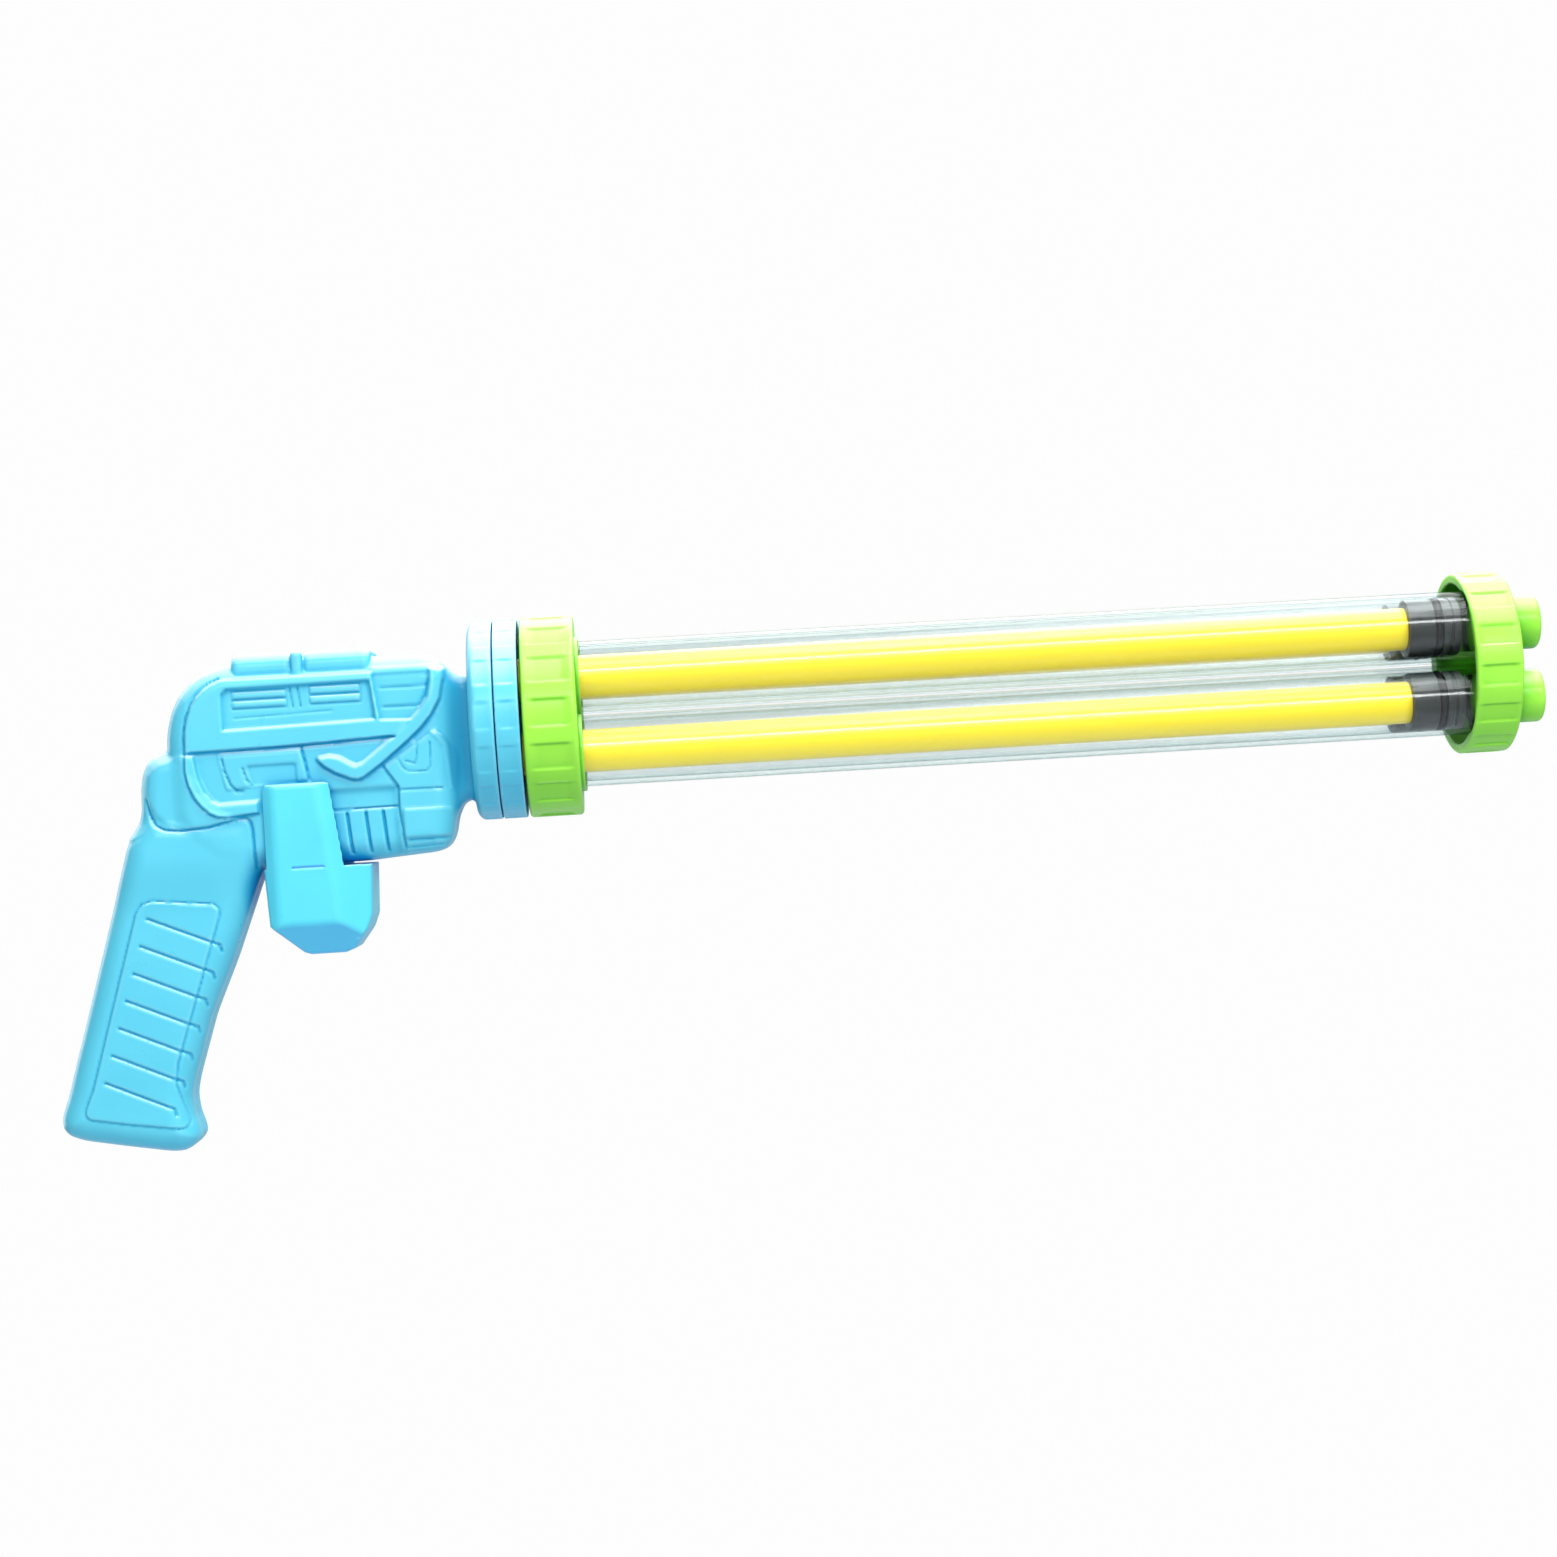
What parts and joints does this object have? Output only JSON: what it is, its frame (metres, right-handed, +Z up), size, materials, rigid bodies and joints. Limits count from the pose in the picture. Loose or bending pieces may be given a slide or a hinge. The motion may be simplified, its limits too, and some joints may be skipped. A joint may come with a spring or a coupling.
{
  "type": "water squirter",
  "caption": "Pull-pump water squirter: clear tubes between a green nozzle cap and a green ring, with yellow plunger rods driven by a blue pistol-shaped grip.",
  "frame": {"origin": "on the barrel axis, at the front face of the front cap, in the middle of the nozzles", "axes": "+X forward along the barrel axis, out of the nozzles; +Z up; +Y to the left of the person holding it"},
  "size_m": [0.4475, 0.0598, 0.1522],
  "materials": {
    "green_plastic": "moulded lime green, satin gloss",
    "clear_plastic": "clear extruded plastic with a faint cool tint",
    "seal_rubber": "black moulded rubber",
    "guide_plastic": "natural moulded plastic",
    "blue_plastic": "moulded sky blue, satin gloss",
    "yellow_plastic": "extruded yellow, glossy",
    "piston_plastic": "dark grey moulded plastic",
    "cyan_plastic": "moulded bright cyan, satin gloss",
    "screw_steel": "zinc-plated steel"
  },
  "bodies": {
    "barrel": {"front_cap": "green_plastic", "tube_upper_right": "clear_plastic", "tube_upper_left": "clear_plastic", "tube_lower_right": "clear_plastic", "tube_lower_left": "clear_plastic", "tube_seals": "seal_rubber", "rear_ring": "green_plastic", "rod_guides": "guide_plastic"},
    "plunger": {"rod_plate": "blue_plastic", "plunger_rod_upper_right": "yellow_plastic", "plunger_rod_upper_left": "yellow_plastic", "plunger_rod_lower_right": "yellow_plastic", "plunger_rod_lower_left": "yellow_plastic", "piston_upper_right": "piston_plastic", "piston_upper_left": "piston_plastic", "piston_lower_right": "piston_plastic", "piston_lower_left": "piston_plastic", "piston_seals": "seal_rubber", "grip_shell_right": "blue_plastic", "grip_shell_left": "blue_plastic", "finger_guard": "cyan_plastic", "grip_screws": "screw_steel", "plate_screws": "screw_steel", "guard_screw": "screw_steel"}
  },
  "joints": [
    {"name": "pump_slide", "type": "slide", "parent": "barrel", "child": "plunger", "axis": [-1, 0, 0], "range_m": [0, 0.25]}
  ]
}
